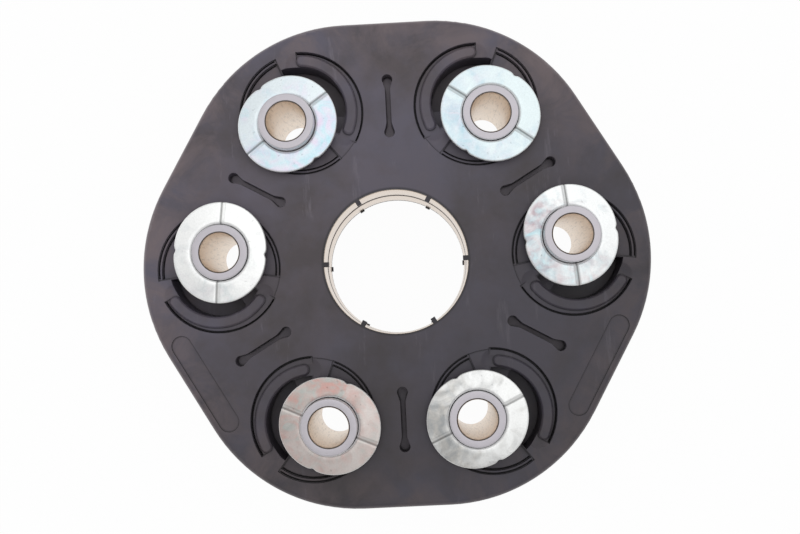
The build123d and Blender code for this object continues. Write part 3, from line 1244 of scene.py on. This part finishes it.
@dataclass
class Bush:
    """One bush: a sleeve through the disc with a long washer on each side."""

    number: int
    tone: PlateTone
    wall: float = 2.3 * MM
    bore_round: float = 0.45 * MM
    end_round: float = 0.35 * MM
    bore_margin: float = 0.15 * MM
    sleeve_segments: int = 128
    round_steps: int = 6
    washer_segments: int = 360
    hole_clearance: float = 0.2 * MM
    hub_radius: float = 9.0 * MM
    rim_thickness: float = 1.2 * MM
    long_radius: float = 13.85 * MM
    short_radius: float = 12.6 * MM
    sink_width: float = 0.5 * MM
    sink_depth: float = 0.4 * MM
    sink_reaches: tuple[float, ...] = (0.5, 0.12, 0.0)  # shares of the width, from the hole
    sink_drops: tuple[float, ...] = (0.42, 0.85, 1.2)  # shares of the depth at these reaches
    groove_width: float = 1.5 * MM
    groove_depth: float = 0.4 * MM
    groove_softness: float = 0.03
    nick_width: float = 1.0 * MM
    nick_depth: float = 0.4 * MM
    rim_round: float = 0.3 * MM
    rim_steps: int = 5
    top_steps: int = 20

    def centre(self) -> Vector:
        """Returns the middle of the sleeve's box."""
        low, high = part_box(f"sleeve_{self.number}")
        return (Vector(low) + Vector(high)) / 2

    def radius(self) -> float:
        """Returns the sleeve's outer radius, half its box along Y or X, whichever is more."""
        low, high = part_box(f"sleeve_{self.number}")
        return max(high[0] - low[0], high[1] - low[1]) / 2

    def sleeve(self, finish: TurnedSleeve) -> bpy.types.Object:
        """Builds the sleeve with rounded ends.

        Args:
            finish: the turned steel.

        Returns:
            The sleeve's object.
        """
        name = f"sleeve_{self.number}"
        low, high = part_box(name)
        outer, centre = self.radius(), self.centre()
        inner = outer - self.wall
        corners = wall_section(inner, outer, low[2], high[2])
        radii = np.repeat([self.bore_round, self.end_round], 2)
        section = rounded_section(corners, radii, self.round_steps)
        points = turned_solid(section, (centre.x, centre.y), self.sleeve_segments)
        steel = finish.build(str(self.number), centre, inner + self.bore_margin)
        piece = grid_piece(f"{name}_turned", points, steel)
        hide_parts(name)
        return piece

    def outline(self, angle: np.ndarray) -> np.ndarray:
        """Gives the radius of the washer's outline, a slot shape with two nicks.

        The slot shape is two half discs of the short radius whose centres lie apart by twice the
        long radius less the short one. Beside the short axis its edge is straight, at short over
        cosine. Elsewhere it is the shift times sine plus the root of short squared less (shift
        times cosine) squared. A bell-shaped nick is taken off at each end of the short axis: its
        depth times e to the power of minus twice the squared distance in nick widths.

        Args:
            angle: angles from the short axis.

        Returns:
            The radii.
        """
        shift = self.long_radius - self.short_radius
        sine, cosine = np.abs(np.sin(angle)), np.abs(np.cos(angle))
        straight = self.short_radius / np.maximum(cosine, 0.5)  # the part below a half isn't used
        curved = shift * sine + np.sqrt(self.short_radius**2 - (shift * cosine) ** 2)
        edge = np.where(straight * sine < shift, straight, curved)
        return edge - self.nick_depth * np.exp(-((edge * sine / self.nick_width) ** 2) * 2)

    def washer(self, side: Side, finish: bpy.types.Material) -> bpy.types.Object:
        """Builds one washer: a plate with a sunk hole edge, a dished top and two pressed grooves.

        The plate is a closed section carried round the hole. It goes down the hole's wall, out
        under the plate, up the rim, round the rim's edge in a quarter circle, and in along the
        top to the sink at the hole. The top falls evenly from hub to rim. It dips in a rounded V
        where the distance from the long axis is under half the groove's width.

        Args:
            side: side of the disc.
            finish: the plating.

        Returns:
            The washer's object.
        """
        name = f"washer_{side.name.lower()}_{self.number}"
        low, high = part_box(name)
        seat, top = (low[2], high[2]) if side is Side.UPPER else (high[2], low[2])
        thickness = abs(top - seat)
        hole = self.radius() + self.hole_clearance
        angle = np.linspace(0, 2 * math.pi, self.washer_segments, endpoint=False)[:, None]
        rim = self.outline(angle)
        quarter = np.linspace(0, math.pi / 2, self.rim_steps)[None, :]
        flat = np.linspace(1.0, 0.0, self.top_steps)[None, :]
        inner = hole + self.sink_width
        edge_reach = rim - self.rim_round * (1 - np.cos(quarter))
        edge_drop = self.rim_round * (1 - np.sin(quarter)) + 0 * rim
        top_reach = inner + flat[:, 1:] * (rim - self.rim_round - inner)
        sink_reach = hole + np.array([self.sink_reaches]) * self.sink_width + 0 * rim
        reach = np.concatenate([hole + 0 * rim, rim, edge_reach, top_reach, sink_reach], axis=1)
        drop = np.concatenate([0 * rim, 0 * rim, edge_drop, 0 * top_reach, 0 * sink_reach], axis=1)
        drop[:, -len(self.sink_drops) :] = np.array([self.sink_drops]) * self.sink_depth
        fall = np.clip((reach - self.hub_radius) / (self.long_radius - self.hub_radius), 0, 1)
        height = thickness - fall * (thickness - self.rim_thickness) - drop
        beside = np.clip(np.abs(reach * np.cos(angle)) / (self.groove_width / 2), 0, 1)
        softness = self.groove_softness
        groove = 1 - np.sqrt(beside**2 + softness) / math.sqrt(1 + softness)
        height = height - self.groove_depth * np.clip(groove, 0, 1)
        height[:, :2] = 0.0
        centre = self.centre()
        turn = math.atan2(centre.y, centre.x)
        x = centre.x + reach * np.cos(angle + turn)
        y = centre.y + reach * np.sin(angle + turn)
        z = seat + side.value * height
        points = np.stack([x, y, z], axis=-1)
        if side is Side.LOWER:
            points = points[:, ::-1]
        piece = grid_piece(f"{name}_plated", points, finish)
        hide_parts(name)
        return piece

    def build(self) -> list[bpy.types.Object]:
        """Builds the sleeve and its two washers.

        Returns:
            The three objects.
        """
        plate = ZincPlate(self.tone).build(str(self.number), self.centre())
        return [self.sleeve(TurnedSleeve()), *(self.washer(side, plate) for side in Side)]


@dataclass
class CordPacks:
    """The cord packs inside the rubber, kept as packed."""

    prefix: str = "cord_"

    def dress(self, finish: bpy.types.Material) -> int:
        """Gives each pack its finish.

        Args:
            finish: the cord.

        Returns:
            How many packs there are.
        """
        packs = [node for name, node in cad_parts.items() if name.startswith(self.prefix)]
        for node in packs:
            for slot in node.material_slots:
                slot.material = finish
        return len(packs)


@dataclass(frozen=True)
class Softbox:
    """A square lamp that faces the part. A face of radiance 1 looks white."""

    name: str
    place: tuple[float, float, float]
    size: float
    radiance: float

    def hang(self) -> bpy.types.Object:
        """Hangs the lamp.

        A face that shines with radiance r sends out r times pi times its area.

        Returns:
            The lamp.
        """
        data = bpy.data.lights.new(self.name, "AREA")
        data.shape = "SQUARE"
        data.size = self.size
        data.energy = self.radiance * math.pi * self.size * self.size
        lamp = bpy.data.objects.new(self.name, data)
        lamp.location = self.place
        lamp.rotation_euler = Vector(self.place).to_track_quat("Z", "Y").to_euler()
        bpy.context.scene.collection.objects.link(lamp)
        return lamp


@dataclass
class Studio:
    """Pale floor, soft light and the camera of the photograph."""

    focal_px: float = 900.0
    picture_px: tuple[float, float] = (800.0, 534.0)
    middle_px: tuple[float, float] = (400.0, 267.0)
    nadir_px: tuple[float, float] = (417.55, 315.5)
    face_px: tuple[float, float] = (395.9, 261.1)
    face_distance: float = 246.7 * MM
    face_height: float = 12.7 * MM
    roll: float = math.radians(2.83)
    sensor: float = 36.0
    sight: Span = (0.01, 20.0)
    floor_size: float = 4.0
    floor_colour: str = "F4F4F4"
    floor_roughness: float = 0.9
    shadow_share: float = 0.03
    lamps: tuple[Softbox, ...] = (
        Softbox("softbox_top", (0.12, 0.2, 0.8), 0.9, 0.5),
        Softbox("softbox_side", (-0.9, 0.5, 0.6), 0.6, 0.6),
    )
    room_light: float = 0.66

    def ray(self, pixel: tuple[float, float]) -> Vector:
        """Returns the direction in camera space of a pixel, one unit deep."""
        x, y = (at - middle for at, middle in zip(pixel, self.middle_px))
        return Vector((x / self.focal_px, -y / self.focal_px, -1.0))

    def camera(self) -> bpy.types.Object:
        """Places the camera from what the photograph shows.

        The point below the camera is where the shaft axis vanishes. Its pixel gives the axis in
        camera space, the roll turns X round it, and the middle of the rubber's face, seen at its
        own pixel and distance, gives the place.

        Returns:
            The camera.
        """
        up = -self.ray(self.nadir_px).normalized()
        level = Vector((math.cos(self.roll), math.sin(self.roll), 0.0))
        level = (level - up * level.dot(up)).normalized()
        to_world = Matrix((level, up.cross(level), up))
        data = bpy.data.cameras.new("camera")
        data.sensor_width = self.sensor
        data.lens = self.focal_px * self.sensor / self.picture_px[0]
        data.clip_start, data.clip_end = self.sight
        camera = bpy.data.objects.new("camera", data)
        bpy.context.scene.collection.objects.link(camera)
        face = to_world @ (self.ray(self.face_px) * self.face_distance)
        place = Vector((0.0, 0.0, self.face_height)) - face
        camera.matrix_world = Matrix.Translation(place) @ to_world.to_4x4()
        bpy.context.scene.camera = camera
        return camera

    def floor(self) -> bpy.types.Object:
        """Lays the floor under the sleeves. Seen directly it is white with a faint shadow.

        Returns:
            The floor.
        """
        material, tree, shader = new_material("paper_floor_white")
        feed(shader, {"Base Color": linear(self.floor_colour), "Roughness": self.floor_roughness})
        path = add_node(tree, "ShaderNodeLightPath").outputs
        seen = path["Is Camera Ray"]
        for kind in ("Is Glossy Ray", "Is Transmission Ray"):
            seen = add_node(tree, "ShaderNodeMath", {0: seen, 1: path[kind]}, operation="MAXIMUM")
        share = add_node(
            tree, "ShaderNodeMath", {0: seen, 1: 1 - self.shadow_share}, operation="MULTIPLY"
        )
        glow = add_node(tree, "ShaderNodeEmission", {"Color": grey(1.0), "Strength": 1.0})
        mixed = add_node(tree, "ShaderNodeMixShader", {0: share, 1: shader, 2: glow})
        feed(tree.get_output_node("ALL"), {"Surface": mixed})
        half = self.floor_size / 2
        mesh = bpy.data.meshes.new("floor")
        height = CAD_BOX[0][2]
        corners = [(x * half, y * half, height) for x, y in ((-1, -1), (1, -1), (1, 1), (-1, 1))]
        mesh.from_pydata(corners, [], [(0, 1, 2, 3)])
        mesh.materials.append(material)
        floor = bpy.data.objects.new("floor", mesh)
        bpy.context.scene.collection.objects.link(floor)
        return floor

    def build(self) -> None:
        """Sets up floor, lamps, world and camera."""
        self.floor()
        for lamp in self.lamps:
            lamp.hang()
        world = bpy.data.worlds.new("studio")
        bpy.context.scene.world = world
        world.use_nodes = True
        background = world.node_tree.nodes["Background"]
        feed(background, {"Color": grey(1.0), "Strength": self.room_light})
        self.camera()
        bpy.context.scene.view_settings.view_transform = "Standard"


def main() -> None:
    """Builds the looks piece by piece and reports each."""
    logging.basicConfig(level=logging.INFO, format="%(name)s: %(message)s")
    RubberDisc().build(MouldedRubber().build())
    CentringRing().build(RolledRingSteel().build())
    for number, tone in enumerate(BUSH_TONES, start=1):
        Bush(number, tone).build()
    log.info("cord packs: %d", CordPacks().dress(DippedCord().build()))
    Studio().build()


if __name__ == "__main__":
    main()
